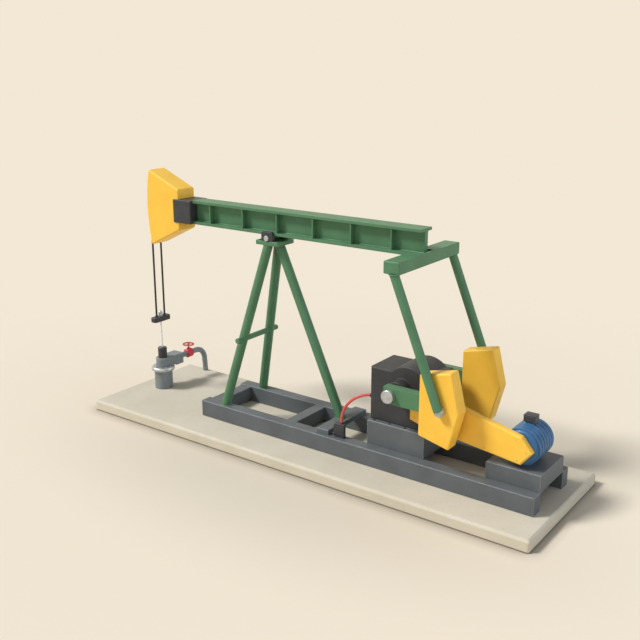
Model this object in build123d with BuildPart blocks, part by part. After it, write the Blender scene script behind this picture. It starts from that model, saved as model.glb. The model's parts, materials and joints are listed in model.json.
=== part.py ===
from build123d import *
import os
from math import atan2, cos, degrees, radians, sin, sqrt, tan

os.makedirs("parts", exist_ok=True)

# concrete pad: the origin is the middle of its underside, X runs from the well to the motor
pad_width = 3220
pad_height = 240
pad_bevel = 45
pad_top = pad_height

# skid: two box rails with cross members between them
skid_front = -2785
skid_length = 8000
skid_width = 1600
rail_width = 270
rail_height = 370
rail_wall = 20
rail_edge = 10
rail_top = pad_top + rail_height
rail_mid_y = (skid_width - rail_width) / 2
rail_inner_y = skid_width / 2 - rail_width
cross_drop = 10
cross_depth = 300
cross_bottom = rail_top - cross_drop - cross_depth
front_cross_x = -2730
front_cross_width = 285
middle_cross_x = -560
middle_cross_width = 260
post_beam_x = 375
post_beam_width = 295
post_beam_half = 715
post_beam_rise = 110
post_beam_top = rail_top + post_beam_rise

# gearbox pedestal and motor base: plate boxes that bridge the rails
bridge_half = 560
plate_wall = 25
pedestal_x = 1525
pedestal_length = 1300
pedestal_height = 515
pedestal_top = rail_top + pedestal_height
motor_base_x = 4140
motor_base_length = 1075
motor_base_height = 340
motor_base_far = 515
motor_base_top = rail_top + motor_base_height
motor_base_width = bridge_half + motor_base_far
motor_base_mid = (motor_base_far - bridge_half) / 2
bridge_edge = 12

# saddle: where the beam rocks
pivot_x = -1240
pivot_z = 4437
shaft_r = 44
running_gap = 0.05
moving_gap = 6

# post: two front legs, one rear leg, a brace through the front legs and a top plate
leg_r = 101
leg_wall = 14
front_foot_x = -2186
front_foot_y = 652
front_head_x = -1272
front_head_y = 175
rear_foot_x = 500
rear_head_x = -1112
top_plate_height = 90
top_plate_top = pivot_z - 62
top_plate_bottom = top_plate_top - top_plate_height
top_plate_length = 600
top_plate_half = 280
top_plate_edge = 20
brace_x = -1783
brace_z = 2170
brace_r = 60
brace_length = 1360
weld_gap = 0.3

# saddle bearings stand outside the beam's lower flange
bearing_inner_y = 207
bearing_outer_y = 276
bearing_half = 150
bearing_height = 200
bearing_round = 45

# walking beam: a welded I section with stiffeners
beam_front = -3420
beam_back = 2420
beam_bottom = 4493
beam_depth = 526
flange_width = 400
flange_thick = 58
web_thick = 110
stiffener_thick = 30
stiffener_inset = 12
stiffener_first = -2930
stiffener_step = 934
stiffener_count = 6
beam_top = beam_bottom + beam_depth
beam_mid_z = beam_bottom + beam_depth / 2
saddle_hub_r = 56
saddle_hub_half = 195

# horsehead: its curved face is centred on the saddle shaft
track_r = 3580
track_up = 18.3
track_down = 8.9
track_half = 185
horsehead_half = 262
horsehead_back = -3812
horsehead_back_top = 5234
horsehead_back_bottom = 4308
cheek_top_x = -4726
cheek_top_z = 5622
cheek_bulge_x = -4820
cheek_bulge_z = 4800
cheek_tip_x = -4722
cheek_tip_z = 3872
horsehead_edge = 28
mount_front = -3950
mount_half = 290
mount_edge = 14
mount_top = 5015
mount_bottom = 4488

# bridle: two wire ropes that lie in grooves of the track and hang to the carrier bar
rope_r = 23
rope_y = 130
rope_sink = 14
rope_run_r = track_r + rope_r - rope_sink
rope_groove_r = rope_r + weld_gap
rope_slot_r = rope_r + moving_gap + 0.5
rope_wrap_end = 17.2
rope_end_gap = 0.5
rope_wrap_start = 0.1

# well: everything stands on the line where the ropes hang
well_x = pivot_x - rope_run_r
pad_well_margin = 674
pad_length = 2 * (pad_well_margin - well_x)
rod_r = 22
rod_bottom = 560
rod_top = 2215
carrier_length = 520
carrier_width = 190
carrier_height = 116
carrier_bottom = 1944
carrier_edge = 40
carrier_top = carrier_bottom + carrier_height
clamp_r = 50
clamp_height = 120
casing_r = 219
casing_wall = 24
casing_height = 450
casing_top = pad_top + casing_height
well_bore_r = 60
casing_flange_r = 285
casing_flange_height = 100
casing_flange_top = casing_top + casing_flange_height
tee_r = 165
tee_top = 1010
tee_bore_r = 45
tee_arm_half = 160
tee_arm_end = 560
tee_block_start = casing_flange_r + 15
tee_block_low = 752
tee_round = 30
tee_edge = 14
flow_z = 880
flow_r = 66
flow_wall = 10
flow_bend_r = 300
flow_run = 55
flow_foot_margin = 70
flow_end_y = pad_width / 2 - pad_bevel - flow_foot_margin
flow_knee_y = flow_end_y - flow_run
nipple_end = 800
stuffing_r = 108
stuffing_top = 1270
stuffing_edge = 16
stuffing_gap = 0.5
valve_r = 112
valve_y = 900
valve_end = 2 * valve_y - nipple_end
valve_edge = 26
bonnet_r = 34
bonnet_top = 1018
stem_r = 14
wheel_z = 1104
wheel_r = 134
wheel_rim_r = 14
wheel_hub_r = 30
wheel_spokes = 4

# gear reducer, crankshaft, cranks and counterweights
crank_x = 2245
crank_z = 1910
crankshaft_r = 132
reducer_x = 1515
reducer_half = 440
reducer_shoulder = 2223
reducer_dome_x = 2360
reducer_dome_z = 1852
reducer_dome_r = 520
reducer_length = reducer_dome_x + reducer_dome_r - reducer_x
reducer_edge = 18
boss_r = 200
boss_edge = 16
boss_y = 690
weight_inner_y = 705
weight_outer_y = 1005
crank_inner_y = 740
crank_outer_y = 920
crank_half_height = 170
crank_back = 135
crank_throw = 1160
crank_tip = 170
crankshaft_y = weight_outer_y + 18
weight_x = 2935
weight_corner_x = 3578
weight_nose_x = 3766
weight_half_back = 603
weight_half_front = 750
weight_edge = 34

# equalizer and pitmans
equalizer_x = 2191
equalizer_back = 2531
equalizer_half = 1150
equalizer_bottom = 4342
equalizer_height = 237
equalizer_edge = 14
equalizer_notch_half = flange_width / 2 + 8
equalizer_notch_gap = 38
equalizer_notch_end = beam_back + 45
equalizer_top = equalizer_bottom + equalizer_height
equalizer_mid_x = (equalizer_x + equalizer_back) / 2
tail_pin_z = equalizer_bottom + 56
tail_pin_r = 28
tail_lug_r = 48
tail_lug_y = 150
tail_lug_thick = 60
tail_slot_half = 78
tail_slot_gap = 7
tail_pin_half = equalizer_notch_half + 60
pitman_r = 88
pitman_wall = 12
pitman_y = weight_outer_y + pitman_r + 10
pitman_head_x = 2400
wrist_r = 92
wrist_face = 20
pitman_rise = 15
wrist_gap = 6

# belt guard, motor and controls
guard_inner_y = 455
guard_depth = 130
guard_edge = 30
guard_left = 2498
guard_left_low = 1372
guard_left_high = 1660
guard_crown_x = 2900
guard_crown_z = 2042
guard_brow_x = 4800
guard_brow_z = 1592
guard_tip_x = 5027
guard_tip_z = 1320
guard_toe_x = 4810
guard_toe_z = 1052
guard_heel_x = 2690
guard_heel_z = 1320
guard_arm_width = 120
guard_arm_x = 2625
guard_arm_z = 1560
guard_arm_height = 160
motor_x = 4739
motor_z = 1328
motor_r = 326
motor_fin_r = 358
motor_near_y = -438
motor_far_y = 274
motor_fins = 6
motor_fin_width = 84
motor_foot_half = 130
motor_foot_width = 420
motor_shaft_r = 45
motor_bell_r = 110
terminal_width = 230
terminal_depth = 200
terminal_height = 122
terminal_x = motor_x + 2
terminal_y = (motor_near_y + motor_far_y) / 2 + 60
terminal_bottom = motor_z + motor_fin_r + 26
terminal_seat = 150
control_x = 793
control_width = 240
control_depth = 80
control_height = 300
control_setback = 125
control_y = skid_width / 2 - control_setback
cable_r = 29
cable_bend_r = 600
cable_x = control_x + 162
cable_y = control_depth / 2 - control_y
cable_end_y = -390
cable_end_z = 1594


# pad
with BuildPart() as concrete_pad:
    with BuildSketch(Plane.XY):
        Rectangle(pad_length, pad_width)
    extrude(amount=pad_height)
    fillet(concrete_pad.edges().filter_by(Axis.Z), pad_bevel)
    chamfer(concrete_pad.faces().sort_by(Axis.Z)[-1].edges(), pad_bevel)
    with BuildSketch(Plane((well_x, 0, 0))):
        Circle(well_bore_r)
    extrude(amount=pad_height, mode=Mode.SUBTRACT)

# rails: box sections closed at both ends
with BuildPart() as skid_rail_near:
    with BuildSketch(Plane((skid_front, -rail_mid_y, pad_top + rail_height / 2), (0, 1, 0), (1, 0, 0))):
        Rectangle(rail_width, rail_height)
    extrude(amount=skid_length)
    chamfer(skid_rail_near.edges().filter_by(Axis.X), rail_edge)
    with BuildSketch(Plane((skid_front + rail_wall, -rail_mid_y, pad_top + rail_height / 2),
                           (0, 1, 0), (1, 0, 0))):
        Rectangle(rail_width - 2 * rail_wall, rail_height - 2 * rail_wall)
    extrude(amount=skid_length - 2 * rail_wall, mode=Mode.SUBTRACT)

with BuildPart() as skid_rail_far:
    mirror(skid_rail_near.part, about=Plane.XZ)

# cross members between the rails
with BuildPart() as front_cross_member:
    with BuildSketch(Plane((front_cross_x + front_cross_width / 2, 0, cross_bottom))):
        Rectangle(front_cross_width, 2 * rail_inner_y)
    extrude(amount=cross_depth)
    chamfer(front_cross_member.edges().filter_by(Axis.Y), rail_edge)

with BuildPart() as middle_cross_member:
    with BuildSketch(Plane((middle_cross_x + middle_cross_width / 2, 0, cross_bottom))):
        Rectangle(middle_cross_width, 2 * rail_inner_y)
    extrude(amount=cross_depth)
    chamfer(middle_cross_member.edges().filter_by(Axis.Y), rail_edge)

# the rear leg's beam lies over the rails and hangs down between them
with BuildPart() as post_cross_beam:
    with BuildSketch(Plane((post_beam_x + post_beam_width / 2, 0, rail_top))):
        Rectangle(post_beam_width, 2 * post_beam_half)
    extrude(amount=post_beam_rise)
    chamfer(post_cross_beam.faces().sort_by(Axis.Z)[-1].edges(), rail_edge)

# pedestal and motor base: plate boxes open underneath
with BuildPart() as gearbox_pedestal:
    with BuildSketch(Plane((pedestal_x + pedestal_length / 2, 0, rail_top))):
        Rectangle(pedestal_length, 2 * bridge_half)
    extrude(amount=pedestal_height)
    chamfer(gearbox_pedestal.faces().sort_by(Axis.Z)[-1].edges(), bridge_edge)
    with BuildSketch(Plane((pedestal_x + pedestal_length / 2, 0, rail_top))):
        Rectangle(pedestal_length - 2 * plate_wall, 2 * (bridge_half - plate_wall))
    extrude(amount=pedestal_height - plate_wall, mode=Mode.SUBTRACT)

with BuildPart() as motor_base:
    with BuildSketch(Plane((motor_base_x + motor_base_length / 2, motor_base_mid, rail_top))):
        Rectangle(motor_base_length, motor_base_width)
    extrude(amount=motor_base_height)
    chamfer(motor_base.faces().sort_by(Axis.Z)[-1].edges(), bridge_edge)
    with BuildSketch(Plane((motor_base_x + motor_base_length / 2, motor_base_mid, rail_top))):
        Rectangle(motor_base_length - 2 * plate_wall, motor_base_width - 2 * plate_wall)
    extrude(amount=motor_base_height - plate_wall, mode=Mode.SUBTRACT)

# front legs: tubes cut level at the rail and under the top plate, bored for the brace
front_lean = Vector(front_head_x - front_foot_x, front_foot_y - front_head_y, top_plate_bottom - rail_top)
front_foot = Vector(front_foot_x, -front_foot_y, rail_top)
with BuildPart() as front_leg_near:
    with BuildSketch(Plane(front_foot - front_lean * 0.05, z_dir=front_lean)):
        Circle(leg_r)
        Circle(leg_r - leg_wall, mode=Mode.SUBTRACT)
    extrude(amount=front_lean.length * 1.1)
    split(bisect_by=Plane.XY.offset(rail_top), keep=Keep.TOP)
    split(bisect_by=Plane.XY.offset(top_plate_bottom), keep=Keep.BOTTOM)
    with BuildSketch(Plane((brace_x, 0, brace_z), (1, 0, 0), (0, -1, 0))):
        Circle(brace_r + weld_gap)
    extrude(amount=brace_length, mode=Mode.SUBTRACT)

with BuildPart() as front_leg_far:
    mirror(front_leg_near.part, about=Plane.XZ)

rear_foot = Vector(rear_foot_x, 0, post_beam_top)
rear_lean = Vector(rear_head_x - rear_foot_x, 0, top_plate_bottom - post_beam_top)
with BuildPart() as rear_leg:
    with BuildSketch(Plane(rear_foot - rear_lean * 0.05, z_dir=rear_lean)):
        Circle(leg_r)
        Circle(leg_r - leg_wall, mode=Mode.SUBTRACT)
    extrude(amount=rear_lean.length * 1.1)
    split(bisect_by=Plane.XY.offset(post_beam_top), keep=Keep.TOP)
    split(bisect_by=Plane.XY.offset(top_plate_bottom), keep=Keep.BOTTOM)

with BuildPart() as leg_brace:
    with BuildSketch(Plane((brace_x, 0, brace_z), (1, 0, 0), (0, -1, 0))):
        Circle(brace_r)
    extrude(amount=brace_length / 2, both=True)
    fillet(leg_brace.edges().filter_by(GeomType.CIRCLE), 12)

with BuildPart() as post_top_plate:
    with BuildSketch(Plane((pivot_x, 0, top_plate_bottom))):
        Rectangle(top_plate_length, 2 * top_plate_half)
    extrude(amount=top_plate_height)
    fillet(post_top_plate.edges().filter_by(Axis.Z), top_plate_edge)
    chamfer(post_top_plate.faces().sort_by(Axis.Z)[-1].edges(), top_plate_edge / 2)

# saddle bearings: pillow blocks with rounded shoulders
with BuildPart() as saddle_bearing_near:
    with BuildSketch(Plane((pivot_x, -bearing_inner_y, top_plate_top), (1, 0, 0), (0, -1, 0))):
        with Locations((0, bearing_height / 2)):
            Rectangle(2 * bearing_half, bearing_height)
    extrude(amount=bearing_outer_y - bearing_inner_y)
    fillet(saddle_bearing_near.edges().filter_by(Axis.Y).group_by(Axis.Z)[-1], bearing_round)
    chamfer(saddle_bearing_near.faces().sort_by(Axis.Y)[0].edges().sort_by(Axis.Z)[1:], 8)
    with BuildSketch(Plane((pivot_x, -bearing_inner_y, pivot_z), (1, 0, 0), (0, -1, 0))):
        Circle(shaft_r + running_gap)
    extrude(amount=bearing_outer_y - bearing_inner_y, mode=Mode.SUBTRACT)

with BuildPart() as saddle_bearing_far:
    mirror(saddle_bearing_near.part, about=Plane.XZ)

with BuildPart() as saddle_shaft:
    with BuildSketch(Plane((pivot_x, 0, pivot_z), (1, 0, 0), (0, -1, 0))):
        Circle(shaft_r)
    extrude(amount=bearing_outer_y + 14, both=True)
    chamfer(saddle_shaft.edges().filter_by(GeomType.CIRCLE), 6)

# walking beam with its stiffeners, the saddle under it and the two lugs under its tail
with BuildPart() as walking_beam:
    with BuildSketch(Plane((beam_front, 0, beam_mid_z), (0, 1, 0), (1, 0, 0))):
        Rectangle(web_thick, beam_depth)
        with Locations((0, (beam_depth - flange_thick) / 2), (0, (flange_thick - beam_depth) / 2)):
            Rectangle(flange_width, flange_thick)
    extrude(amount=beam_back - beam_front)
    for number in range(stiffener_count):
        stiffener_x = stiffener_first + number * stiffener_step
        with BuildSketch(Plane((stiffener_x, 0, beam_mid_z), (0, 1, 0), (1, 0, 0))):
            Rectangle(flange_width - 2 * stiffener_inset, beam_depth - flange_thick)
        extrude(amount=stiffener_thick)
    with BuildSketch(Plane((pivot_x, 0, pivot_z), (1, 0, 0), (0, -1, 0))):
        Circle(saddle_hub_r)
        with Locations((0, (beam_bottom - pivot_z) / 2)):
            Rectangle(2 * saddle_hub_r, beam_bottom - pivot_z)
    extrude(amount=saddle_hub_half, both=True)
    with BuildSketch(Plane((pivot_x, 0, pivot_z), (1, 0, 0), (0, -1, 0))):
        Circle(shaft_r)
    extrude(amount=saddle_hub_half, both=True, mode=Mode.SUBTRACT)
    for lug_side in (-1, 1):
        lug_mid = Vector(equalizer_mid_x, lug_side * tail_lug_y, tail_pin_z)
        with BuildSketch(Plane(lug_mid, (1, 0, 0), (0, -1, 0))):
            Circle(tail_lug_r)
            with Locations((0, (beam_bottom - tail_pin_z) / 2)):
                Rectangle(2 * tail_lug_r, beam_bottom - tail_pin_z)
            Circle(tail_pin_r + running_gap, mode=Mode.SUBTRACT)
        extrude(amount=tail_lug_thick / 2, both=True)

# horsehead mount: a box that takes the beam's end behind and the horsehead in front
with BuildPart() as horsehead_mount:
    with BuildSketch(Plane((mount_front, 0, (mount_top + mount_bottom) / 2), (0, 1, 0), (1, 0, 0))):
        Rectangle(2 * mount_half, mount_top - mount_bottom)
    extrude(amount=beam_front - mount_front)
    chamfer(horsehead_mount.edges(), mount_edge)
    with BuildSketch(Plane((mount_front, 0, (mount_top + mount_bottom) / 2), (0, 1, 0), (1, 0, 0))):
        Rectangle(2 * horsehead_half, mount_top - mount_bottom)
    extrude(amount=horsehead_back - mount_front, mode=Mode.SUBTRACT)

# horsehead: two thick cheeks with the rope track between them, an arc about the saddle shaft
saddle_axis = Axis((pivot_x, 0, pivot_z), (0, 1, 0))
saddle_axis_back = Axis((pivot_x, 0, pivot_z), (0, -1, 0))
with BuildPart() as horsehead:
    with BuildSketch(Plane.XZ):
        with BuildLine():
            cheek = ThreePointArc((cheek_top_x, cheek_top_z), (cheek_bulge_x, cheek_bulge_z),
                                  (cheek_tip_x, cheek_tip_z))
            Polyline(cheek @ 1, (horsehead_back, horsehead_back_bottom),
                     (horsehead_back, horsehead_back_top), cheek @ 0)
        make_face()
    extrude(amount=horsehead_half, both=True)
    fillet(horsehead.edges().filter_by(Axis.Y).sort_by(Axis.X)[:2], horsehead_edge)
    chamfer(horsehead.faces().filter_by(Axis.Y).edges().filter_by(lambda e: e.center().X < mount_front - 40),
            horsehead_edge)
    with BuildSketch(Plane.XZ):
        with Locations((pivot_x, pivot_z)):
            Circle(track_r + track_r / 10)
            Circle(track_r, mode=Mode.SUBTRACT)
        with Locations(Location((pivot_x, pivot_z, 0), (0, 0, -track_up))):
            Rectangle(4 * track_r, 2 * track_r, align=(Align.CENTER, Align.MIN), mode=Mode.SUBTRACT)
    extrude(amount=track_half, both=True, mode=Mode.SUBTRACT)
    with BuildSketch(Plane.XZ):
        with BuildLine():
            track = CenterArc((pivot_x, pivot_z), track_r, 180 - track_up, track_up + track_down)
            Polyline(track @ 1, (mount_front, horsehead_back_bottom), (mount_front, horsehead_back_top), track @ 0)
        make_face()
    extrude(amount=track_half, both=True)
    for side in (-1, 1):
        with BuildSketch(Plane((well_x, side * rope_y, pivot_z))):
            Circle(rope_groove_r)
        revolve(axis=saddle_axis, revolution_arc=rope_wrap_end + rope_end_gap, mode=Mode.SUBTRACT)
        with BuildSketch(Plane((well_x, side * rope_y, pivot_z))):
            Circle(rope_slot_r)
        revolve(axis=saddle_axis_back, revolution_arc=track_down + 2, mode=Mode.SUBTRACT)

# bridle: the part that lies on the track, and the part that hangs
with BuildPart() as bridle_wrap:
    for side in (-1, 1):
        with BuildLine(Plane.XZ.offset(-side * rope_y)):
            rope_path = CenterArc((pivot_x, pivot_z), rope_run_r, 180 - rope_wrap_start,
                                  rope_wrap_start - rope_wrap_end)
        with BuildSketch(Plane(rope_path @ 0, z_dir=rope_path % 0)):
            Circle(rope_r)
        sweep(path=rope_path)

with BuildPart() as bridle_drop:
    for side in (-1, 1):
        with BuildSketch(Plane((well_x, side * rope_y, carrier_top))):
            Circle(rope_r)
        extrude(amount=pivot_z - moving_gap - carrier_top)

with BuildPart() as carrier_bar:
    with BuildSketch(Plane((well_x, 0, carrier_bottom))):
        Rectangle(carrier_width, carrier_length)
    extrude(amount=carrier_height)
    chamfer(carrier_bar.edges().filter_by(Axis.Z), carrier_edge)
    chamfer(carrier_bar.faces().filter_by(Axis.Z).edges(), carrier_edge / 3)
    with BuildSketch(Plane((well_x, 0, carrier_bottom))):
        Circle(rod_r)
    extrude(amount=carrier_height, mode=Mode.SUBTRACT)

with BuildPart() as rod_clamp:
    with BuildSketch(Plane((well_x, 0, carrier_top))):
        Circle(clamp_r)
        Circle(rod_r, mode=Mode.SUBTRACT)
    extrude(amount=clamp_height)
    chamfer(rod_clamp.faces().sort_by(Axis.Z)[-1].edges().sort_by(SortBy.LENGTH)[-1], 10)

with BuildPart() as polished_rod:
    with BuildSketch(Plane((well_x, 0, rod_bottom))):
        Circle(rod_r)
    extrude(amount=rod_top - rod_bottom)
    chamfer(polished_rod.faces().sort_by(Axis.Z)[-1].edges(), 6)

# wellhead
with BuildPart() as well_casing:
    with BuildSketch(Plane((well_x, 0, pad_top))):
        Circle(casing_r)
        Circle(casing_r - casing_wall, mode=Mode.SUBTRACT)
    extrude(amount=casing_height)

with BuildPart() as casing_flange:
    with BuildSketch(Plane((well_x, 0, casing_top))):
        Circle(casing_flange_r)
    extrude(amount=casing_flange_height)
    fillet(casing_flange.edges().filter_by(GeomType.CIRCLE), casing_flange_height * 0.4)
    with BuildSketch(Plane((well_x, 0, casing_top))):
        Circle(well_bore_r)
    extrude(amount=casing_flange_height, mode=Mode.SUBTRACT)

with BuildPart() as flow_tee:
    with BuildSketch(Plane((well_x, 0, casing_flange_top))):
        Circle(tee_r)
        with Locations((0, tee_arm_end / 2)):
            Rectangle(2 * tee_arm_half, tee_arm_end)
    extrude(amount=tee_top - casing_flange_top)
    with BuildSketch(Plane((well_x, (tee_block_start + tee_arm_end) / 2, tee_block_low))):
        Rectangle(2 * tee_arm_half, tee_arm_end - tee_block_start)
    extrude(amount=tee_top - tee_block_low)
    fillet(flow_tee.faces().sort_by(Axis.Y)[-1].edges().filter_by(Axis.Z), tee_round)
    fillet(flow_tee.faces().sort_by(Axis.Z)[-1].edges(), tee_edge)
    with BuildSketch(Plane((well_x, 0, flow_z), (1, 0, 0), (0, 1, 0))):
        Circle(flow_r)
    extrude(amount=nipple_end)
    with BuildSketch(Plane((well_x, 0, flow_z), (1, 0, 0), (0, 1, 0))):
        Circle(flow_r - flow_wall)
    extrude(amount=nipple_end, mode=Mode.SUBTRACT)
    with BuildSketch(Plane((well_x, 0, casing_flange_top))):
        Circle(tee_bore_r)
    extrude(amount=tee_top - casing_flange_top, mode=Mode.SUBTRACT)

with BuildPart() as stuffing_box:
    with BuildSketch(Plane((well_x, 0, tee_top))):
        Circle(stuffing_r)
    extrude(amount=stuffing_top - tee_top)
    chamfer(stuffing_box.faces().sort_by(Axis.Z)[-1].edges(), stuffing_edge)
    with BuildSketch(Plane((well_x, 0, tee_top))):
        Circle(rod_r + stuffing_gap)
    extrude(amount=stuffing_top - tee_top, mode=Mode.SUBTRACT)

# valve: a turned barrel with bevelled ends, a bonnet and a bored way
with BuildPart() as valve_body:
    with BuildSketch(Plane((well_x, nipple_end, flow_z), (1, 0, 0), (0, 1, 0))):
        Circle(valve_r)
    extrude(amount=valve_end - nipple_end)
    chamfer(valve_body.edges().filter_by(GeomType.CIRCLE), valve_edge)
    with BuildSketch(Plane((well_x, valve_y, flow_z))):
        Circle(bonnet_r)
    extrude(amount=bonnet_top - flow_z)
    with BuildSketch(Plane((well_x, nipple_end, flow_z), (1, 0, 0), (0, 1, 0))):
        Circle(flow_r - flow_wall)
    extrude(amount=valve_end - nipple_end, mode=Mode.SUBTRACT)
    with BuildSketch(Plane((well_x, valve_y, flow_z + flow_r))):
        Circle(stem_r + running_gap)
    extrude(amount=bonnet_top - flow_z, mode=Mode.SUBTRACT)

with BuildPart() as valve_handwheel:
    with BuildSketch(Plane((well_x, valve_y, wheel_z), (1, 0, 0), (0, -1, 0))):
        with Locations((wheel_r, 0)):
            Circle(wheel_rim_r)
    revolve(axis=Axis((well_x, valve_y, wheel_z), (0, 0, 1)))
    with BuildSketch(Plane((well_x, valve_y, wheel_z - wheel_rim_r))):
        Circle(wheel_hub_r)
    extrude(amount=2 * wheel_rim_r)
    for spoke in range(wheel_spokes):
        turn = radians(360 * spoke / wheel_spokes + 45)
        with BuildSketch(Plane((well_x, valve_y, wheel_z), z_dir=(cos(turn), sin(turn), 0))):
            Circle(wheel_rim_r * 0.7)
        extrude(amount=wheel_r)
    with BuildSketch(Plane((well_x, valve_y, flow_z + flow_r + 8))):
        Circle(stem_r)
    extrude(amount=wheel_z - flow_z - flow_r - 8)

flow_foot = Vector(well_x, flow_end_y, pad_top)
flow_drop = flow_foot - Vector(well_x, flow_knee_y, flow_z)
with BuildPart() as flow_line:
    with BuildLine():
        FilletPolyline((well_x, valve_end, flow_z), (well_x, flow_knee_y, flow_z),
                       flow_foot + flow_drop * 0.1, radius=flow_bend_r)
    with BuildSketch(Plane((well_x, valve_end, flow_z), (1, 0, 0), (0, 1, 0))):
        Circle(flow_r)
        Circle(flow_r - flow_wall, mode=Mode.SUBTRACT)
    sweep()
    split(bisect_by=Plane.XY.offset(pad_top), keep=Keep.TOP)

# gear reducer: a box with a domed top and a bearing boss on each side
with BuildPart() as gear_reducer:
    with BuildSketch(Plane((reducer_x + reducer_length / 2, 0, pedestal_top))):
        Rectangle(reducer_length, 2 * reducer_half)
    extrude(amount=reducer_shoulder - pedestal_top)
    with BuildSketch(Plane((reducer_dome_x, 0, reducer_dome_z), (1, 0, 0), (0, -1, 0))):
        Circle(reducer_dome_r)
        with Locations((0, -reducer_dome_r)):
            Rectangle(3 * reducer_dome_r, 2 * reducer_dome_r, mode=Mode.SUBTRACT)
    extrude(amount=reducer_half, both=True)
    chamfer(gear_reducer.faces().filter_by(Axis.Y).edges().filter_by(lambda e: e.center().Z > pedestal_top + 1),
            reducer_edge)
    with BuildSketch(Plane((crank_x, 0, crank_z), (1, 0, 0), (0, -1, 0))):
        Circle(boss_r)
    extrude(amount=boss_y, both=True)
    fillet(gear_reducer.faces().filter_by(Axis.Y).group_by(Axis.Y)[0].edges(), boss_edge)
    fillet(gear_reducer.faces().filter_by(Axis.Y).group_by(Axis.Y)[-1].edges(), boss_edge)
    with BuildSketch(Plane((crank_x, 0, crank_z), (1, 0, 0), (0, -1, 0))):
        Circle(crankshaft_r + running_gap)
    extrude(amount=boss_y, both=True, mode=Mode.SUBTRACT)

with BuildPart() as crankshaft:
    with BuildSketch(Plane((crank_x, 0, crank_z), (1, 0, 0), (0, -1, 0))):
        Circle(crankshaft_r)
    extrude(amount=crankshaft_y, both=True)
    chamfer(crankshaft.edges().filter_by(GeomType.CIRCLE), 10)

# cranks: flat arms keyed on the shaft, with the counterweights slotted over them
crank_length = crank_back + crank_throw + crank_tip
with BuildPart() as crank_near:
    with BuildSketch(Plane((crank_x - crank_back + crank_length / 2, -crank_inner_y, crank_z),
                           (1, 0, 0), (0, -1, 0))):
        Rectangle(crank_length, 2 * crank_half_height)
    extrude(amount=crank_outer_y - crank_inner_y)
    with BuildSketch(Plane((crank_x, -crank_inner_y, crank_z), (1, 0, 0), (0, -1, 0))):
        Circle(crankshaft_r)
    extrude(amount=crank_outer_y - crank_inner_y, mode=Mode.SUBTRACT)

with BuildPart() as crank_far:
    mirror(crank_near.part, about=Plane.XZ)

with BuildPart() as counterweight_near:
    with BuildSketch(Plane((0, -weight_inner_y, crank_z), (1, 0, 0), (0, -1, 0))):
        with BuildLine():
            Polyline((weight_x, -weight_half_back), (weight_corner_x, -weight_half_front), (weight_nose_x, 0),
                     (weight_corner_x, weight_half_front), (weight_x, weight_half_back), close=True)
        make_face()
    extrude(amount=weight_outer_y - weight_inner_y)
    fillet(counterweight_near.edges().filter_by(Axis.Y), weight_edge)
    chamfer(counterweight_near.faces().filter_by(Axis.Y).edges(), weight_edge * 0.6)
    with BuildSketch(Plane((weight_x, -(crank_inner_y + crank_outer_y) / 2, crank_z), (0, 1, 0), (1, 0, 0))):
        Rectangle(crank_outer_y - crank_inner_y, 2 * crank_half_height)
    extrude(amount=crank_x - crank_back + crank_length - weight_x, mode=Mode.SUBTRACT)

with BuildPart() as counterweight_far:
    mirror(counterweight_near.part, about=Plane.XZ)

# equalizer: notched under the beam, with two slots for the lugs that carry its pin
with BuildPart() as equalizer:
    with BuildSketch(Plane((equalizer_x, 0, equalizer_bottom), (0, 1, 0), (1, 0, 0))):
        with Locations((0, equalizer_height / 2)):
            Rectangle(2 * equalizer_half, equalizer_height)
    extrude(amount=equalizer_back - equalizer_x)
    chamfer(equalizer.edges(), equalizer_edge)
    with BuildSketch(Plane((equalizer_x, 0, beam_bottom - equalizer_notch_gap))):
        Rectangle(equalizer_notch_end - equalizer_x, 2 * equalizer_notch_half, align=(Align.MIN, Align.CENTER))
    extrude(amount=equalizer_height, mode=Mode.SUBTRACT)
    for lug_side in (-1, 1):
        with BuildSketch(Plane((equalizer_mid_x, lug_side * tail_lug_y, equalizer_bottom))):
            Rectangle(2 * tail_slot_half, tail_lug_thick + 2 * tail_slot_gap)
        extrude(amount=equalizer_height, mode=Mode.SUBTRACT)
    with BuildSketch(Plane((equalizer_mid_x, 0, tail_pin_z), (1, 0, 0), (0, -1, 0))):
        Circle(tail_pin_r)
    extrude(amount=tail_pin_half, both=True, mode=Mode.SUBTRACT)

with BuildPart() as equalizer_pin:
    with BuildSketch(Plane((equalizer_mid_x, 0, tail_pin_z), (1, 0, 0), (0, -1, 0))):
        Circle(tail_pin_r)
    extrude(amount=tail_pin_half, both=True)

# pitmans: tubes cut level under the equalizer, each ending in an eye round its wrist pin
wrist_x = crank_x + crank_throw
pitman_foot = Vector(wrist_x, -pitman_y, crank_z)
pitman_lean = Vector(pitman_head_x - wrist_x, 0, equalizer_bottom - crank_z)
wrist_length = pitman_y + wrist_face - weight_outer_y - wrist_gap
with BuildPart() as pitman_near:
    with BuildSketch(Plane(pitman_foot + pitman_lean.normalized() * pitman_rise, z_dir=pitman_lean)):
        Circle(pitman_r)
    extrude(amount=pitman_lean.length * 1.1)
    split(bisect_by=Plane.XY.offset(equalizer_bottom), keep=Keep.BOTTOM)
    with BuildSketch(Plane(pitman_foot + pitman_lean * 0.06, z_dir=pitman_lean)):
        Circle(pitman_r - pitman_wall)
    extrude(amount=pitman_lean.length * 0.89, mode=Mode.SUBTRACT)
    with BuildSketch(Plane((wrist_x, -weight_outer_y - wrist_gap, crank_z), (1, 0, 0), (0, -1, 0))):
        Circle(wrist_r)
    extrude(amount=wrist_length, mode=Mode.SUBTRACT)

with BuildPart() as pitman_far:
    mirror(pitman_near.part, about=Plane.XZ)

with BuildPart() as wrist_pin_near:
    with BuildSketch(Plane((wrist_x, -weight_outer_y - wrist_gap, crank_z), (1, 0, 0), (0, -1, 0))):
        Circle(wrist_r)
    extrude(amount=wrist_length)

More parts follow.
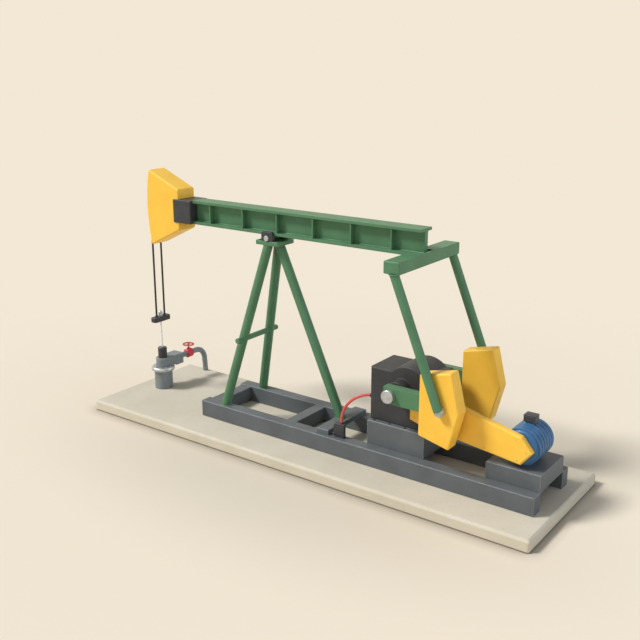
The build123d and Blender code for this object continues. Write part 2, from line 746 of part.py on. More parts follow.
with BuildPart() as wrist_pin_far:
    mirror(wrist_pin_near.part, about=Plane.XZ)

# belt guard: one closed cover over both pulleys, carried by an arm and a ring
with BuildPart() as belt_guard:
    with BuildSketch(Plane((0, -guard_inner_y, 0), (1, 0, 0), (0, -1, 0))):
        with BuildLine():
            Polyline((guard_left, guard_left_low), (guard_heel_x, guard_heel_z), (guard_toe_x, guard_toe_z),
                     (guard_tip_x, guard_tip_z), (guard_brow_x, guard_brow_z), (guard_crown_x, guard_crown_z),
                     (guard_left, guard_left_high), close=True)
        make_face()
    extrude(amount=guard_depth)
    chamfer(belt_guard.faces().sort_by(Axis.Y)[0].edges(), guard_edge)
    with BuildSketch(Plane((guard_arm_x, -guard_inner_y, guard_arm_z), (1, 0, 0), (0, 1, 0))):
        Rectangle(guard_arm_width, guard_arm_height, align=(Align.MIN, Align.MAX))
    extrude(amount=guard_inner_y - reducer_half)
    with BuildSketch(Plane((motor_x, -guard_inner_y, motor_z), (1, 0, 0), (0, 1, 0))):
        Circle(motor_bell_r)
        Circle(motor_shaft_r + moving_gap, mode=Mode.SUBTRACT)
    extrude(amount=guard_inner_y + motor_near_y)

# motor: a finned drum with end bells on two feet
fin_pitch = (motor_far_y - motor_near_y) / (motor_fins + 0.5)
with BuildPart() as motor:
    with BuildSketch(Plane((motor_x, motor_near_y, motor_z), (1, 0, 0), (0, 1, 0))):
        Circle(motor_r)
    extrude(amount=motor_far_y - motor_near_y)
    chamfer(motor.edges().filter_by(GeomType.CIRCLE), 26)
    for fin in range(motor_fins):
        fin_y = motor_near_y + fin_pitch * (fin + 0.5)
        with BuildSketch(Plane((motor_x, fin_y, motor_z), (1, 0, 0), (0, 1, 0))):
            Circle(motor_fin_r)
        extrude(amount=motor_fin_width)
    with BuildSketch(Plane((motor_x, (motor_near_y + motor_far_y) / 2, motor_base_top))):
        Rectangle(2 * motor_foot_half, motor_foot_width)
    extrude(amount=motor_z - motor_r - motor_base_top + 60)
    with BuildSketch(Plane((terminal_x, terminal_y, motor_z))):
        Rectangle(terminal_seat, terminal_seat)
    extrude(amount=terminal_bottom - motor_z)

with BuildPart() as terminal_box:
    with BuildSketch(Plane((terminal_x, terminal_y, terminal_bottom))):
        Rectangle(terminal_width, terminal_depth)
    extrude(amount=terminal_height)
    chamfer(terminal_box.edges(), 12)

# control box on the near rail and the lead from it to the reducer
with BuildPart() as control_box:
    with BuildSketch(Plane((control_x + control_width / 2, -control_y + control_depth / 2, rail_top))):
        Rectangle(control_width, control_depth)
    extrude(amount=control_height)
    chamfer(control_box.edges().filter_by(Axis.Z), 8)
    chamfer(control_box.faces().sort_by(Axis.Z)[-1].edges(), 8)

lead_start = Vector(cable_x, cable_y, rail_top + control_height)
lead_end = Vector(reducer_x, cable_end_y, cable_end_z)
lead_flat = Vector(lead_end.X - lead_start.X, lead_end.Y - lead_start.Y, 0)
lead_way = lead_flat.normalized()
with BuildPart() as control_cable:
    with BuildLine():
        rise = Line(lead_start, (lead_start.X, lead_start.Y, cable_end_z - cable_bend_r))
        bend = TangentArc(rise @ 1, lead_start + lead_way * cable_bend_r
                          + Vector(0, 0, cable_end_z - lead_start.Z), tangent=rise % 1)
        Line(bend @ 1, lead_end + lead_way * 3 * cable_r)
    with BuildSketch(Plane(lead_start)):
        Circle(cable_r)
    sweep()
    split(bisect_by=Plane.YZ.offset(reducer_x), keep=Keep.BOTTOM)

for name, piece in (
    ("concrete_pad", concrete_pad), ("skid_rail_near", skid_rail_near), ("skid_rail_far", skid_rail_far),
    ("front_cross_member", front_cross_member), ("middle_cross_member", middle_cross_member),
    ("post_cross_beam", post_cross_beam), ("gearbox_pedestal", gearbox_pedestal), ("motor_base", motor_base),
    ("front_leg_near", front_leg_near), ("front_leg_far", front_leg_far), ("rear_leg", rear_leg),
    ("leg_brace", leg_brace), ("post_top_plate", post_top_plate),
    ("saddle_bearing_near", saddle_bearing_near), ("saddle_bearing_far", saddle_bearing_far),
    ("saddle_shaft", saddle_shaft), ("walking_beam", walking_beam), ("horsehead_mount", horsehead_mount),
    ("horsehead", horsehead), ("bridle_wrap", bridle_wrap), ("bridle_drop", bridle_drop),
    ("carrier_bar", carrier_bar), ("rod_clamp", rod_clamp), ("polished_rod", polished_rod),
    ("well_casing", well_casing), ("casing_flange", casing_flange), ("flow_tee", flow_tee),
    ("stuffing_box", stuffing_box), ("valve_body", valve_body), ("valve_handwheel", valve_handwheel),
    ("flow_line", flow_line), ("gear_reducer", gear_reducer), ("crankshaft", crankshaft),
    ("crank_near", crank_near), ("crank_far", crank_far), ("counterweight_near", counterweight_near),
    ("counterweight_far", counterweight_far), ("equalizer", equalizer), ("equalizer_pin", equalizer_pin),
    ("pitman_near", pitman_near), ("pitman_far", pitman_far), ("wrist_pin_near", wrist_pin_near),
    ("wrist_pin_far", wrist_pin_far), ("belt_guard", belt_guard), ("motor", motor),
    ("terminal_box", terminal_box), ("control_box", control_box), ("control_cable", control_cable),
):
    piece.part.label = name
    export_step(piece.part, f"parts/{name}.step")
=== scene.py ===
import bpy
import json
from math import cos, pi, radians, sin
from mathutils import Matrix, Vector


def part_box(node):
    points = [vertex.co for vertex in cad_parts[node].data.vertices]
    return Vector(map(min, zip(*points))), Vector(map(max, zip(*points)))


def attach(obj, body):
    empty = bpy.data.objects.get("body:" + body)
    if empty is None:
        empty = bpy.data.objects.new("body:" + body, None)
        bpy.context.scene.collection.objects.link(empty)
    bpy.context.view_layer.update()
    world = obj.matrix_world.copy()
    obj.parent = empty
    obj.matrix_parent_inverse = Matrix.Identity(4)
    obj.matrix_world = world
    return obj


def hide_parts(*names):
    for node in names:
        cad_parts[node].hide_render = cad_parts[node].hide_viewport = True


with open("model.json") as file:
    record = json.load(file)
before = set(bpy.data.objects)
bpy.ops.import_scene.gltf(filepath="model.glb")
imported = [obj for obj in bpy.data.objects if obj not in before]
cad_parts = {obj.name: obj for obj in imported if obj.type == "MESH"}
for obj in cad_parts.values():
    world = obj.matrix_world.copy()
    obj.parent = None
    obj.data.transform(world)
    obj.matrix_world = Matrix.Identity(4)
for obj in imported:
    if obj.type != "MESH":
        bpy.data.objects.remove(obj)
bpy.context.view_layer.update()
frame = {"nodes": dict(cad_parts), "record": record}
nodes = frame["nodes"]
print("frame loaded:", len(nodes), "nodes")


def linear(hexColour):
    parts = [int(hexColour[i:i + 2], 16) / 255 for i in (1, 3, 5)]
    return tuple(c / 12.92 if c <= 0.04045 else ((c + 0.055) / 1.055) ** 2.4 for c in parts) + (1.0,)


def addNode(tree, kind, inputs, **settings):
    node = tree.nodes.new("ShaderNode" + kind)
    for name, value in settings.items():
        setattr(node, name, value)
    for socket, value in inputs.items():
        if isinstance(value, bpy.types.NodeSocket):
            tree.links.new(value, node.inputs[socket])
        else:
            node.inputs[socket].default_value = value
    return node


def newMaterial(name):
    material = bpy.data.materials.new(name)
    material.use_nodes = True
    material.node_tree.nodes.clear()
    return material, material.node_tree


def deselect():
    if bpy.context.object and bpy.context.object.mode != "OBJECT":
        bpy.ops.object.mode_set(mode="OBJECT")
    bpy.ops.object.select_all(action="DESELECT")


# camera: the photo's own angle, taken as 640 x 640
camera = {"place": (10.5755, -14.5898, 8.1706), "pitch": 73.410, "heading": 36.0765, "lens": 50.4934,
          "sensor": 36, "farthest": 400}
deselect()
bpy.ops.object.camera_add(location=camera["place"],
                          rotation=(radians(camera["pitch"]), 0, radians(camera["heading"])))
bpy.context.scene.camera = bpy.context.object
bpy.context.object.data.lens = camera["lens"]
bpy.context.object.data.sensor_width = camera["sensor"]
bpy.context.object.data.clip_end = camera["farthest"]
bpy.context.scene.view_settings.view_transform = "Standard"
print("camera set")

# stage: a pale floor that runs into the backdrop, with painted shade in front of the pad and painted contact
# shade round its foot, a key from the front left and two weak fills
stage = {"floor": "#ECDFCA", "shade": "#DACEBB", "contactShade": "#1A1713", "backdrop": "#F2E8D5", "fill": "#F2F8FF",
         "radius": 90, "drop": 0.002, "shadeAt": (0.5, -1.6), "shadeReach": (8.0, 4.0), "shadeCore": 0.2,
         "contactShadeReach": 0.34, "fadeStart": 5.5, "fadeEnd": 15.0, "fillLow": 0.12, "fillHigh": 0.39,
         "lampAway": 16}
lamps = {"key": {"from": (-0.785, -0.690, 1.090), "level": 2.96, "colour": "#FFFFFF", "soft": 15},
         "side_fill": {"from": (1.0, 0.12, 0.16), "level": 1.30, "colour": "#DCEAFF", "soft": 50},
         "front_fill": {"from": (0.2, -1.0, 0.25), "level": 0.42, "colour": "#FFFFFF", "soft": 60}}
deselect()
bpy.ops.mesh.primitive_circle_add(vertices=96, radius=stage["radius"], fill_type="NGON",
                                  location=(0, 0, -stage["drop"]))
floor = bpy.context.object
floor.name = "floor"
bpy.ops.object.transform_apply(location=True, rotation=True, scale=True)
floorPaper, tree = newMaterial("paper_sweep")  # matt paper: no gloss, fades into the backdrop far away
spot = addNode(tree, "TexCoord", {}).outputs["Object"]
reach = addNode(tree, "VectorMath", {0: spot}, operation="LENGTH")
fade = addNode(tree, "MapRange", {"Value": reach.outputs["Value"], "From Min": stage["fadeStart"],
                                  "From Max": stage["fadeEnd"]}, interpolation_type="SMOOTHSTEP")
toCamera = addNode(tree, "LightPath", {}).outputs["Is Camera Ray"]
seen = addNode(tree, "Math", {0: fade.outputs["Result"], 1: toCamera}, operation="MULTIPLY")
shadeX, shadeY = stage["shadeAt"]
reachX, reachY = stage["shadeReach"]
# painted shade: an oval on the floor in front of the pad, darkest at its core
oval = addNode(tree, "Mapping", {"Vector": spot, "Scale": (1 / reachX, 1 / reachY, 1),
                                 "Location": (-shadeX / reachX, -shadeY / reachY, 0)})
away = addNode(tree, "VectorMath", {0: oval.outputs[0]}, operation="LENGTH")
clear = addNode(tree, "MapRange", {"Value": away.outputs["Value"], "From Min": stage["shadeCore"]},
                interpolation_type="SMOOTHSTEP")
paper = addNode(tree, "Mix", {0: clear.outputs["Result"], 6: linear(stage["shade"]), 7: linear(stage["floor"])},
                data_type="RGBA")  # painted shade: greyer just in front of the pad
# painted contact shade: ambient occlusion darkens the floor colour round the pad, for camera rays only
corner = addNode(tree, "AmbientOcclusion", {"Distance": stage["contactShadeReach"]}, samples=8)
unseen = addNode(tree, "Math", {0: 1.0, 1: toCamera}, operation="SUBTRACT")
corner = addNode(tree, "Math", {0: corner.outputs["AO"], 1: unseen.outputs[0]}, operation="MAXIMUM")
paper = addNode(tree, "Mix", {0: corner.outputs[0], 6: linear(stage["contactShade"]), 7: paper.outputs[2]},
                data_type="RGBA")  # painted contact shade: dark where the pad stands on it
matt = addNode(tree, "BsdfDiffuse", {"Color": paper.outputs[2]})
glow = addNode(tree, "Emission", {"Color": linear(stage["backdrop"]), "Strength": 1.0})
blend = addNode(tree, "MixShader", {0: seen.outputs[0], 1: matt.outputs[0], 2: glow.outputs[0]})
addNode(tree, "OutputMaterial", {"Surface": blend.outputs[0]})
floor.data.materials.append(floorPaper)

world = bpy.data.worlds.new("studio")
bpy.context.scene.world = world
world.use_nodes = True
tree = world.node_tree
tree.nodes.clear()
rays = addNode(tree, "LightPath", {}).outputs
shown = addNode(tree, "Math", {0: rays["Is Camera Ray"], 1: rays["Is Glossy Ray"]}, operation="MAXIMUM")
shown = addNode(tree, "Math", {0: shown.outputs[0], 1: rays["Is Transmission Ray"]}, operation="MAXIMUM")
sky = addNode(tree, "SeparateXYZ", {0: addNode(tree, "TexCoord", {}).outputs["Generated"]})
softbox = addNode(tree, "MapRange", {"Value": sky.outputs["Z"], "To Min": stage["fillLow"],
                                     "To Max": stage["fillHigh"]})  # brighter overhead than at the horizon
fillLight = addNode(tree, "Background", {"Color": linear(stage["fill"]), "Strength": softbox.outputs[0]})
backdrop = addNode(tree, "Background", {"Color": linear(stage["backdrop"]), "Strength": 1.0})
blend = addNode(tree, "MixShader", {0: shown.outputs[0], 1: fillLight.outputs[0], 2: backdrop.outputs[0]})
addNode(tree, "OutputWorld", {"Surface": blend.outputs[0]})
deselect()
for lampName, lamp in lamps.items():
    bpy.ops.object.light_add(type="SUN", location=Vector(lamp["from"]) * stage["lampAway"])
    sun = bpy.context.object
    sun.name = lampName
    sun.rotation_euler = Vector(lamp["from"]).to_track_quat("Z", "Y").to_euler()
    sun.data.energy = lamp["level"]
    sun.data.color = linear(lamp["colour"])[:3]
    sun.data.angle = radians(lamp["soft"])
print("stage set")


# satin alkyd enamel, sprayed on plate: slight patches from the gun, pale edges that are partly rubbed paint and
# partly painted highlight, dust on what faces up
def enamel(name, paint, wornAndHighlit, patch, dust, rough, wearAndHighlightAmount=0.5, edge=0.010):
    material, tree = newMaterial(name)
    coords = addNode(tree, "TexCoord", {})
    spot = coords.outputs["Object"]
    gun = addNode(tree, "TexNoise", {"Vector": spot, "Scale": 1 / 0.45, "Detail": 3.0})  # 450 mm
    grit = addNode(tree, "TexNoise", {"Vector": spot, "Scale": 1 / 0.045, "Detail": 6.0})  # 45 mm
    peel = addNode(tree, "TexNoise", {"Vector": spot, "Scale": 1 / 0.016})  # 3 mm, drawn at 16
    patches = addNode(tree, "MapRange", {"Value": gun.outputs["Fac"], "From Min": 0.38, "From Max": 0.66})
    tone = addNode(tree, "Mix", {0: patches.outputs[0], 6: linear(paint), 7: linear(patch)}, data_type="RGBA")
    rounded = addNode(tree, "Bevel", {"Radius": edge}, samples=6)
    flat = addNode(tree, "NewGeometry", {})
    turn = addNode(tree, "VectorMath", {0: rounded.outputs[0], 1: flat.outputs["Normal"]},
                   operation="DOT_PRODUCT")
    rim = addNode(tree, "MapRange", {"Value": turn.outputs["Value"], "From Min": 0.995, "From Max": 0.86})
    edgeBreakup = addNode(tree, "MapRange", {"Value": grit.outputs["Fac"], "From Min": 0.35, "From Max": 0.62,
                                     "To Min": 0.25, "To Max": 1.0})
    # edges paled by the pale edge colour: partly rubbed paint, partly painted highlight
    wearAndHighlight = addNode(tree, "Math", {0: rim.outputs[0], 1: edgeBreakup.outputs[0]}, operation="MULTIPLY")
    wearAndHighlight = addNode(tree, "Math", {0: wearAndHighlight.outputs[0], 1: wearAndHighlightAmount}, operation="MULTIPLY")
    tone = addNode(tree, "Mix", {0: wearAndHighlight.outputs[0], 6: tone.outputs[2], 7: linear(wornAndHighlit)}, data_type="RGBA")
    facing = addNode(tree, "SeparateXYZ", {0: coords.outputs["Normal"]})
    level = addNode(tree, "MapRange", {"Value": facing.outputs["Z"], "From Min": 0.70, "From Max": 1.0,
                                       "To Max": 0.03})
    powder = addNode(tree, "Math", {0: level.outputs[0], 1: gun.outputs["Fac"]}, operation="MULTIPLY")
    tone = addNode(tree, "Mix", {0: powder.outputs[0], 6: tone.outputs[2], 7: linear(dust)}, data_type="RGBA")
    sheen = addNode(tree, "MapRange", {"Value": grit.outputs["Fac"], "From Min": 0.3, "From Max": 0.7,
                                       "To Min": rough - 0.06, "To Max": rough + 0.10})
    bump = addNode(tree, "Bump", {"Height": peel.outputs["Fac"], "Normal": rounded.outputs[0], "Strength": 0.12,
                                  "Distance": 0.002})
    shader = addNode(tree, "BsdfPrincipled", {"Base Color": tone.outputs[2], "Roughness": sheen.outputs[0],
                                              "Normal": bump.outputs[0], "Specular IOR Level": 0.3})
    addNode(tree, "OutputMaterial", {"Surface": shader.outputs[0]})
    return material


# sand casting under dull paint: a coarse pitted skin from the mould, cloudy stains, a little pale at edges,
# partly wear and partly painted highlight
def casting(name, paint, patch, wornAndHighlit, rough, grain, edge=0.014):
    material, tree = newMaterial(name)
    spot = addNode(tree, "TexCoord", {}).outputs["Object"]
    skin = addNode(tree, "TexNoise", {"Vector": spot, "Scale": 1 / grain, "Detail": 5.0})
    pits = addNode(tree, "TexVoronoi", {"Vector": spot, "Scale": 1 / (grain * 1.6)})
    stain = addNode(tree, "TexNoise", {"Vector": spot, "Scale": 1 / 0.35, "Detail": 4.0})  # 350 mm
    cloud = addNode(tree, "MapRange", {"Value": stain.outputs["Fac"], "From Min": 0.36, "From Max": 0.64})
    tone = addNode(tree, "Mix", {0: cloud.outputs[0], 6: linear(paint), 7: linear(patch)}, data_type="RGBA")
    rounded = addNode(tree, "Bevel", {"Radius": edge}, samples=6)
    flat = addNode(tree, "NewGeometry", {})
    turn = addNode(tree, "VectorMath", {0: rounded.outputs[0], 1: flat.outputs["Normal"]},
                   operation="DOT_PRODUCT")
    # edges paled: partly wear, partly painted highlight
    rim = addNode(tree, "MapRange", {"Value": turn.outputs["Value"], "From Min": 0.995, "From Max": 0.86,
                                     "To Max": 0.25})
    tone = addNode(tree, "Mix", {0: rim.outputs[0], 6: tone.outputs[2], 7: linear(wornAndHighlit)}, data_type="RGBA")
    height = addNode(tree, "Math", {0: skin.outputs["Fac"], 1: pits.outputs["Distance"]}, operation="ADD")
    bump = addNode(tree, "Bump", {"Height": height.outputs[0], "Normal": rounded.outputs[0], "Strength": 0.30,
                                  "Distance": 0.004})
    sheen = addNode(tree, "MapRange", {"Value": skin.outputs["Fac"], "From Min": 0.3, "From Max": 0.7,
                                       "To Min": rough - 0.05, "To Max": rough + 0.12})
    shader = addNode(tree, "BsdfPrincipled", {"Base Color": tone.outputs[2], "Roughness": sheen.outputs[0],
                                              "Normal": bump.outputs[0], "Specular IOR Level": 0.35})
    addNode(tree, "OutputMaterial", {"Surface": shader.outputs[0]})
    return material


# turned carbon steel: fine tool marks, a little oil film in patches
def turned(name, metal, film, rough, metallic):
    material, tree = newMaterial(name)
    spot = addNode(tree, "TexCoord", {}).outputs["Object"]
    marks = addNode(tree, "TexWave", {"Vector": spot, "Scale": 1 / 0.05, "Distortion": 1.2, "Detail": 2.0},
                    bands_direction="Z")  # 1 mm marks, drawn at 16
    oil = addNode(tree, "TexNoise", {"Vector": spot, "Scale": 1 / 0.12, "Detail": 4.0})  # 120 mm
    smear = addNode(tree, "MapRange", {"Value": oil.outputs["Fac"], "From Min": 0.42, "From Max": 0.70})
    tone = addNode(tree, "Mix", {0: smear.outputs[0], 6: linear(metal), 7: linear(film)}, data_type="RGBA")
    sheen = addNode(tree, "MapRange", {"Value": oil.outputs["Fac"], "From Min": 0.3, "From Max": 0.7,
                                       "To Min": rough - 0.07, "To Max": rough + 0.10})
    rounded = addNode(tree, "Bevel", {"Radius": 0.006}, samples=6)
    bump = addNode(tree, "Bump", {"Height": marks.outputs["Fac"], "Normal": rounded.outputs[0],
                                  "Strength": 0.05, "Distance": 0.001})
    shader = addNode(tree, "BsdfPrincipled", {"Base Color": tone.outputs[2], "Roughness": sheen.outputs[0],
                                              "Normal": bump.outputs[0], "Metallic": metallic})
    addNode(tree, "OutputMaterial", {"Surface": shader.outputs[0]})
    return material


# cast concrete, steel-trowelled on top: cement clouds, sand, pores, painted shade on the sides and a painted
# shadow line at the foot
def trowelled(name, cement, cloud, sand, sideShade, poreAndFootShade):
    material, tree = newMaterial(name)
    coords = addNode(tree, "TexCoord", {})
    spot = coords.outputs["Object"]
    swirl = addNode(tree, "TexNoise", {"Vector": spot, "Scale": 1 / 0.9, "Detail": 6.0,
                                       "Roughness": 0.6})  # 900 mm sweeps of the trowel
    speck = addNode(tree, "TexNoise", {"Vector": spot, "Scale": 1 / 0.035, "Detail": 4.0})  # 35 mm
    pores = addNode(tree, "TexVoronoi", {"Vector": spot, "Scale": 1 / 0.11})  # 110 mm apart
    sweep = addNode(tree, "MapRange", {"Value": swirl.outputs["Fac"], "From Min": 0.36, "From Max": 0.66})
    tone = addNode(tree, "Mix", {0: sweep.outputs[0], 6: linear(cement), 7: linear(cloud)}, data_type="RGBA")
    grains = addNode(tree, "MapRange", {"Value": speck.outputs["Fac"], "From Min": 0.55, "From Max": 0.75,
                                        "To Max": 0.45})
    tone = addNode(tree, "Mix", {0: grains.outputs[0], 6: tone.outputs[2], 7: linear(sand)}, data_type="RGBA")
    hole = addNode(tree, "MapRange", {"Value": pores.outputs["Distance"], "From Min": 0.10, "From Max": 0.04,
                                      "To Max": 0.3})
    tone = addNode(tree, "Mix", {0: hole.outputs[0], 6: tone.outputs[2], 7: linear(poreAndFootShade)}, data_type="RGBA")
    facing = addNode(tree, "SeparateXYZ", {0: coords.outputs["Normal"]})
    # painted shade: the sides a shade darker than the top
    sideShadeMask = addNode(tree, "MapRange", {"Value": facing.outputs["Z"], "From Min": 0.5, "From Max": 0.2})
    tone = addNode(tree, "Mix", {0: sideShadeMask.outputs[0], 6: tone.outputs[2], 7: linear(sideShade)}, data_type="RGBA",
                   blend_type="MULTIPLY")
    height = addNode(tree, "SeparateXYZ", {0: spot})
    # painted shadow: a dark line at the foot where the pad meets the floor
    footShade = addNode(tree, "MapRange", {"Value": height.outputs["Z"], "From Min": 0.030, "From Max": 0.012,
                                      "To Max": 0.85})
    tone = addNode(tree, "Mix", {0: footShade.outputs[0], 6: tone.outputs[2], 7: linear(poreAndFootShade)}, data_type="RGBA")
    rounded = addNode(tree, "Bevel", {"Radius": 0.045}, samples=8)
    relief = addNode(tree, "Math", {0: speck.outputs["Fac"], 1: hole.outputs[0]}, operation="SUBTRACT")
    bump = addNode(tree, "Bump", {"Height": relief.outputs[0], "Normal": rounded.outputs[0], "Strength": 0.25,
                                  "Distance": 0.006})
    shader = addNode(tree, "BsdfPrincipled", {"Base Color": tone.outputs[2], "Roughness": 0.85,
                                              "Normal": bump.outputs[0], "Specular IOR Level": 0.25})
    addNode(tree, "OutputMaterial", {"Surface": shader.outputs[0]})
    return material


# extruded rubber sheath: soft matt skin with faint drawing lines
def sheath(name, rubber, faded, rough):
    material, tree = newMaterial(name)
    spot = addNode(tree, "TexCoord", {}).outputs["Object"]
    chalk = addNode(tree, "TexNoise", {"Vector": spot, "Scale": 1 / 0.09, "Detail": 4.0})  # 90 mm
    tone = addNode(tree, "Mix", {0: chalk.outputs["Fac"], 6: linear(rubber), 7: linear(faded)},
                   data_type="RGBA")
    lines = addNode(tree, "TexNoise", {"Vector": spot, "Scale": 1 / 0.012})  # 12 mm
    bump = addNode(tree, "Bump", {"Height": lines.outputs["Fac"], "Strength": 0.15, "Distance": 0.001})
    shader = addNode(tree, "BsdfPrincipled", {"Base Color": tone.outputs[2], "Roughness": rough,
                                              "Normal": bump.outputs[0], "IOR": 1.5})
    addNode(tree, "OutputMaterial", {"Surface": shader.outputs[0]})
    return material


finishes = {
    "concrete": trowelled("trowelled_concrete", "#D4CBB8", "#CCC3AF", "#BCB4A0", "#FAFAF8", "#6E685C"),
    # the grey's pale edge colour and its strong amount are mostly painted highlight along the rails' edges
    "skid_grey": enamel("grey_enamel", "#62676A", "#C9CECF", "#5B6062", "#B5AC9A", 0.48, wearAndHighlightAmount=0.9, edge=0.014),
    "post_green": enamel("green_enamel", "#54805D", "#84AA8A", "#4D7856", "#A7A38A", 0.42, wearAndHighlightAmount=0.35),
    "machine_yellow": enamel("yellow_enamel", "#FDC84A", "#FFDE88", "#F8C144", "#EAD7A8", 0.42),
    "black_paint": enamel("black_enamel", "#404143", "#717273", "#39393B", "#8F897C", 0.42),
    "reducer_charcoal": casting("charcoal_casting", "#3B3B3C", "#343435", "#4E4F4F", 0.50, 0.020, edge=0.040),
    "bright_steel": turned("turned_steel", "#C3C8CA", "#A8ADAF", 0.34, 0.75),
    "wellhead_grey": casting("grey_casting", "#848B8D", "#7A8183", "#A3A8AB", 0.48, 0.016),
    "motor_blue": enamel("blue_enamel", "#3D6E9A", "#7CA0C2", "#386690", "#9FA7AC", 0.40, wearAndHighlightAmount=0.3),
    "valve_red": enamel("red_enamel", "#CC4446", "#E28A86", "#C03D3F", "#C9A79A", 0.36, edge=0.006),
    "wire_rope": turned("greased_wire", "#3A3736", "#2A2725", 0.45, 0.40),
    "polished_steel": turned("polished_steel", "#F4F6F5", "#E4E8E6", 0.25, 0.35),
    "red_sheath": sheath("red_rubber", "#D2453F", "#DC5A53", 0.45),
}
slotOf = {row["node"]: row["material_slot"] for row in frame["record"]["subparts"]}
for nodeName, piece in nodes.items():
    piece.data.materials.clear()
    piece.data.materials.append(finishes["polished_steel" if nodeName == "polished_rod" else slotOf[nodeName]])
print("finishes:", len(finishes))


def pickFaces(piece, wanted):
    bpy.ops.object.mode_set(mode="OBJECT")
    bpy.context.tool_settings.mesh_select_mode = (False, False, True)
    for part in (piece.data.vertices, piece.data.edges):
        part.foreach_set("select", [False] * len(part))
    for face in piece.data.polygons:
        face.select = bool(wanted(face.center, face.normal))
    bpy.ops.object.mode_set(mode="EDIT")


def pickEdges(piece, wanted):
    bpy.ops.object.mode_set(mode="OBJECT")
    bpy.context.tool_settings.mesh_select_mode = (False, True, False)
    points = piece.data.vertices
    for part in (piece.data.vertices, piece.data.polygons):
        part.foreach_set("select", [False] * len(part))
    for edge in piece.data.edges:
        edge.select = bool(wanted(points[edge.vertices[0]].co, points[edge.vertices[1]].co))
    bpy.ops.object.mode_set(mode="EDIT")


def topCap(centre, normal):
    return normal.z > 0.999 and centre.xy.length < 0.01


def roundTop(piece, width, segments):
    pickEdges(piece, lambda a, b: a.z > 0 and b.z > 0)
    bpy.ops.mesh.bevel(offset=width, segments=segments)


def settle(piece, name, body, slotName, smooth=35):
    deselect()
    piece.select_set(True)
    bpy.context.view_layer.objects.active = piece
    bpy.ops.object.transform_apply(location=True, rotation=True, scale=True)
    bpy.ops.object.mode_set(mode="EDIT")
    bpy.ops.mesh.select_all(action="SELECT")
    bpy.ops.mesh.remove_doubles(threshold=0.00005)
    bpy.ops.mesh.normals_make_consistent(inside=False)
    bpy.ops.object.mode_set(mode="OBJECT")
    bpy.ops.object.shade_smooth_by_angle(angle=radians(smooth))
    piece.name = name
    piece.data.materials.clear()
    piece.data.materials.append(finishes[slotName])
    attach(piece, body)
    return piece


def joined(parts):
    deselect()
    for part in parts:
        part.select_set(True)
    bpy.context.view_layer.objects.active = parts[0]
    bpy.ops.object.join()
    return bpy.context.object


# one master is copied to every spot, each spot a point and the way it faces
def spread(master, spots, name, body, slotName):
    copies = []
    for point, facing in spots:
        copy = master.copy()
        copy.data = master.data.copy()
        bpy.context.collection.objects.link(copy)
        turn = Vector(facing).to_track_quat("Z", "Y").to_matrix().to_4x4()
        copy.matrix_world = Matrix.Translation(point) @ turn
        copies.append(copy)
    deselect()
    for copy in copies:
        copy.select_set(True)
    bpy.context.view_layer.objects.active = copies[0]
    bpy.ops.object.transform_apply(location=True, rotation=True, scale=True)
    bpy.data.objects.remove(master)
    return settle(joined(copies), name, body, slotName)


# hex bolt on a washer, standing on z = 0, its sizes shares of the thread size
def hexBolt(size):
    deselect()
    bpy.ops.mesh.primitive_cylinder_add(vertices=20, radius=size * 1.05, depth=size * 0.22,
                                        location=(0, 0, size * 0.08))
    washer = bpy.context.object
    roundTop(washer, size * 0.06, 1)
    deselect()
    bpy.ops.mesh.primitive_cylinder_add(vertices=6, radius=size * 0.88, depth=size * 0.62,
                                        location=(0, 0, size * 0.48))
    head = bpy.context.object
    roundTop(head, size * 0.10, 2)
    pickFaces(head, lambda c, n: n.z > 0.99 and c.length < size)
    bpy.ops.mesh.inset(thickness=size * 0.18)
    bpy.ops.transform.translate(value=(0, 0, -size * 0.05))
    deselect()
    return joined([washer, head])


def ringSpots(centre, radius, count, facing):
    side = Vector(facing).orthogonal().normalized()
    across = Vector(facing).normalized().cross(side)
    turns = [2 * pi * number / count for number in range(count)]
    return [(Vector(centre) + side * radius * cos(t) + across * radius * sin(t), facing) for t in turns]


up = (0, 0, 1)
sides = (-1, 1)

# nuts on the well and bolts through the saddle bearings
flangeNuts = {"size": 0.020, "ring": 0.216, "count": 10}
low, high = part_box("casing_flange")
wellX = (low.x + high.x) / 2
spread(hexBolt(flangeNuts["size"]), ringSpots((wellX, 0, high.z), flangeNuts["ring"], flangeNuts["count"], up),
       "casing_flange_nuts", "base", "bright_steel")
glandNuts = {"size": 0.013, "across": 0.066}
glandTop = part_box("stuffing_box")[1].z
spread(hexBolt(glandNuts["size"]), [((wellX, side * glandNuts["across"], glandTop), up) for side in sides],
       "gland_nuts", "base", "bright_steel")
saddleBolts = {"size": 0.022, "along": 0.205, "across": 0.2415}
low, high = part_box("post_top_plate")
saddleX = (low.x + high.x) / 2
spread(hexBolt(saddleBolts["size"]),
       [((saddleX + end * saddleBolts["along"], side * saddleBolts["across"], high.z), up)
        for end in sides for side in sides], "saddle_bolts", "base", "black_paint")

# keepers: turned discs bolted on the ends of the saddle shaft
keeper = {"radius": 0.060, "thick": 0.026, "sunk": 0.001, "round": 0.008, "rim": 0.020, "dish": 0.004}
deselect()
bpy.ops.mesh.primitive_cylinder_add(vertices=48, radius=keeper["radius"], depth=keeper["thick"],
                                    location=(0, 0, keeper["thick"] / 2 - keeper["sunk"]))
disc = bpy.context.object
roundTop(disc, keeper["round"], 3)
pickFaces(disc, topCap)
bpy.ops.mesh.inset(thickness=keeper["rim"])
bpy.ops.transform.translate(value=(0, 0, -keeper["dish"]))
deselect()
low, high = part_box("saddle_shaft")
spread(disc, [(((low.x + high.x) / 2, end, (low.z + high.z) / 2), (0, end, 0)) for end in (low.y, high.y)],
       "shaft_keepers", "beam", "bright_steel")

